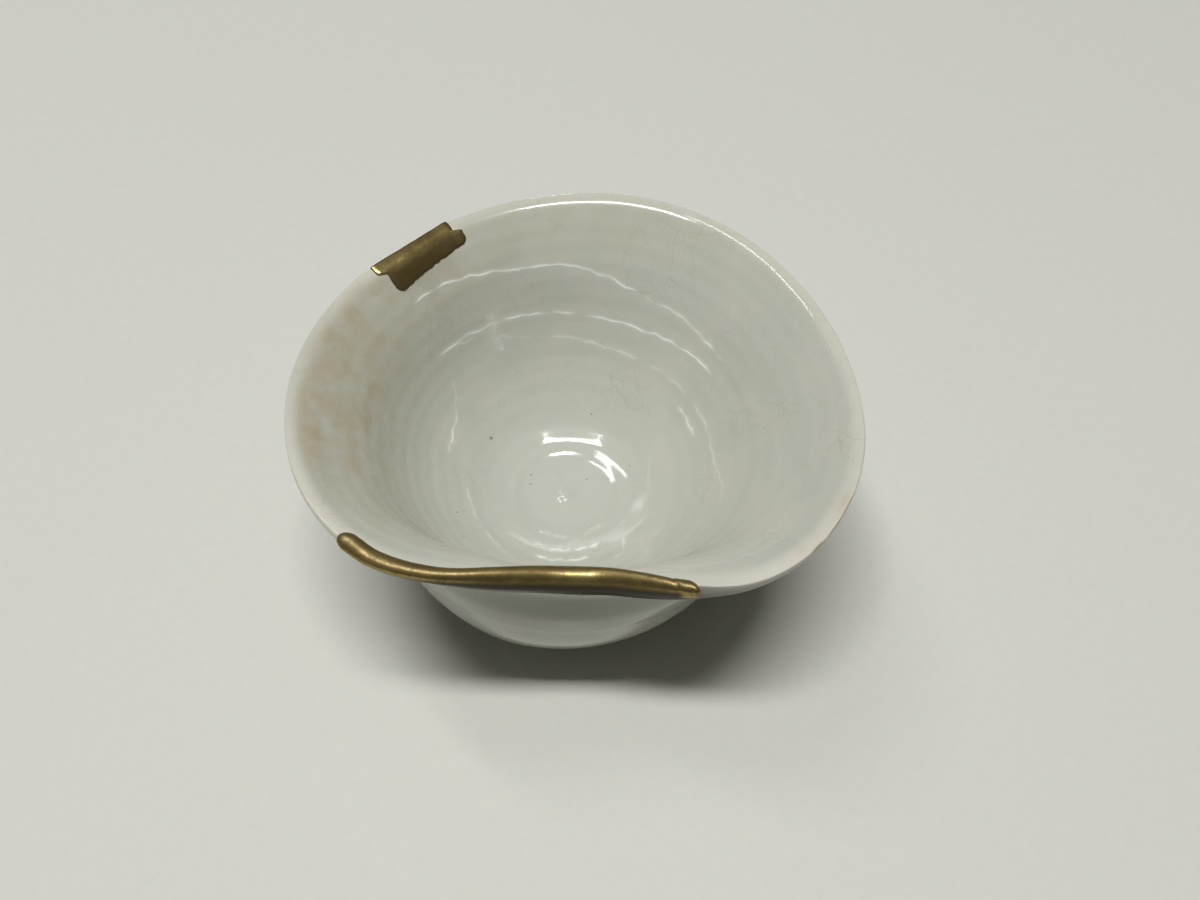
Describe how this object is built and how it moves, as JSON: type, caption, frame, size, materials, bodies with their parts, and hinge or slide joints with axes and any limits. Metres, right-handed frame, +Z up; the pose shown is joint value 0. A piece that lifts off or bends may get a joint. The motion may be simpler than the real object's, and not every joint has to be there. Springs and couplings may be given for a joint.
{
  "type": "sake cup",
  "caption": "Small bell-shaped porcelain drinking cup with a flared lip and foot ring, its broken rim sealed with gold lacquer.",
  "frame": {"origin": "bottom centre of the cup's box, on the surface that the foot ring stands on", "axes": "+Z up out of the cup's mouth, -Y towards the broken front of the lip, +X to the right seen from the front"},
  "size_m": [0.0626, 0.0562, 0.0312],
  "materials": {
    "glazed_porcelain": "glossy grey-white crackle glaze over porcelain, opaque",
    "gold_lacquer": "satin gold powder on brown lacquer"
  },
  "bodies": {
    "root": {"cup_body": "glazed_porcelain", "front_rim_repair": "gold_lacquer", "back_rim_repair": "gold_lacquer"}
  },
  "joints": []
}
